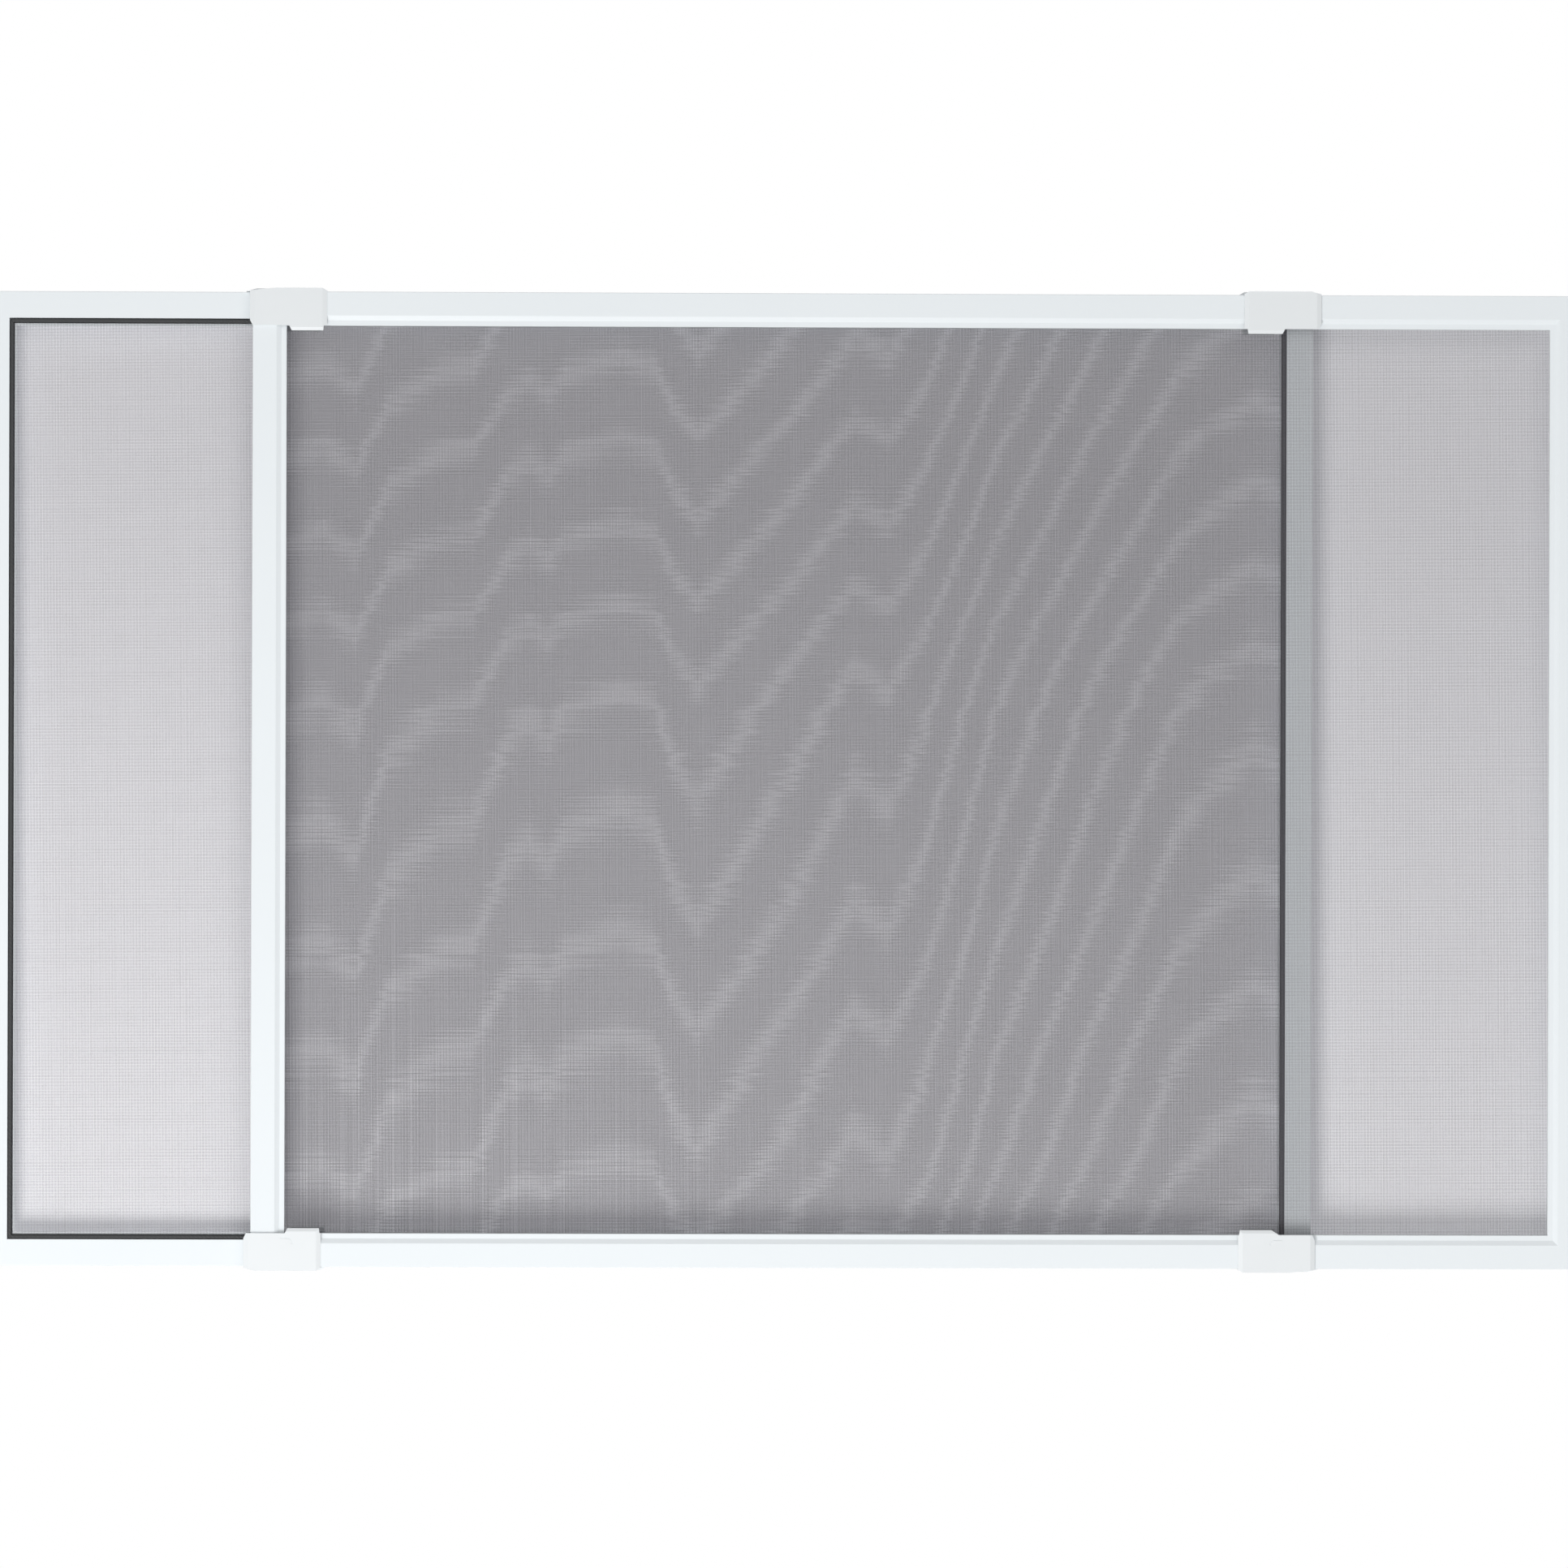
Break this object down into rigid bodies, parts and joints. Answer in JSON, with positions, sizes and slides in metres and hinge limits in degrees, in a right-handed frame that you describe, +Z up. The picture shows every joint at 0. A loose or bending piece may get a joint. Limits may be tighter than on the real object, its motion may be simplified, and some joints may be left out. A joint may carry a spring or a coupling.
{
  "type": "adjustable window insect screen",
  "caption": "White aluminium window insect screen of overlapping mesh panels that slide past each other in plastic corner guides to fit the width of the window.",
  "frame": {"origin": "under the middle of the screen, on the plane of the lower guides' undersides, midway between the panels", "axes": "+X along the slide, to the right seen from the front; +Y from the front panel to the rear panel; +Z up"},
  "size_m": [1.233, 0.0254, 0.7556],
  "materials": {
    "frame_paint": "white powder coat, satin",
    "guide_plastic": "white moulded plastic, satin",
    "key_plastic": "natural moulded plastic",
    "mesh_cloth": "dark grey coated glass-fibre mesh",
    "spline_rubber": "black rubber"
  },
  "bodies": {
    "front_panel": {"front_bottom_rail": "frame_paint", "front_guide_stile": "frame_paint", "front_top_rail": "frame_paint", "front_end_stile": "frame_paint", "front_lower_guide_key": "key_plastic", "front_upper_guide_key": "key_plastic", "front_upper_end_key": "key_plastic", "front_lower_end_key": "key_plastic", "front_mesh": "mesh_cloth", "front_spline": "spline_rubber", "front_lower_guide": "guide_plastic", "front_upper_guide": "guide_plastic"},
    "rear_panel": {"rear_bottom_rail": "frame_paint", "rear_guide_stile": "frame_paint", "rear_top_rail": "frame_paint", "rear_end_stile": "frame_paint", "rear_lower_guide_key": "key_plastic", "rear_upper_guide_key": "key_plastic", "rear_upper_end_key": "key_plastic", "rear_lower_end_key": "key_plastic", "rear_mesh": "mesh_cloth", "rear_spline": "spline_rubber", "rear_lower_guide": "guide_plastic", "rear_upper_guide": "guide_plastic"}
  },
  "joints": [
    {"name": "panel_slide", "type": "slide", "parent": "front_panel", "child": "rear_panel", "axis": [-1, 0, 0], "range_m": [-0.203, 0.705]}
  ]
}
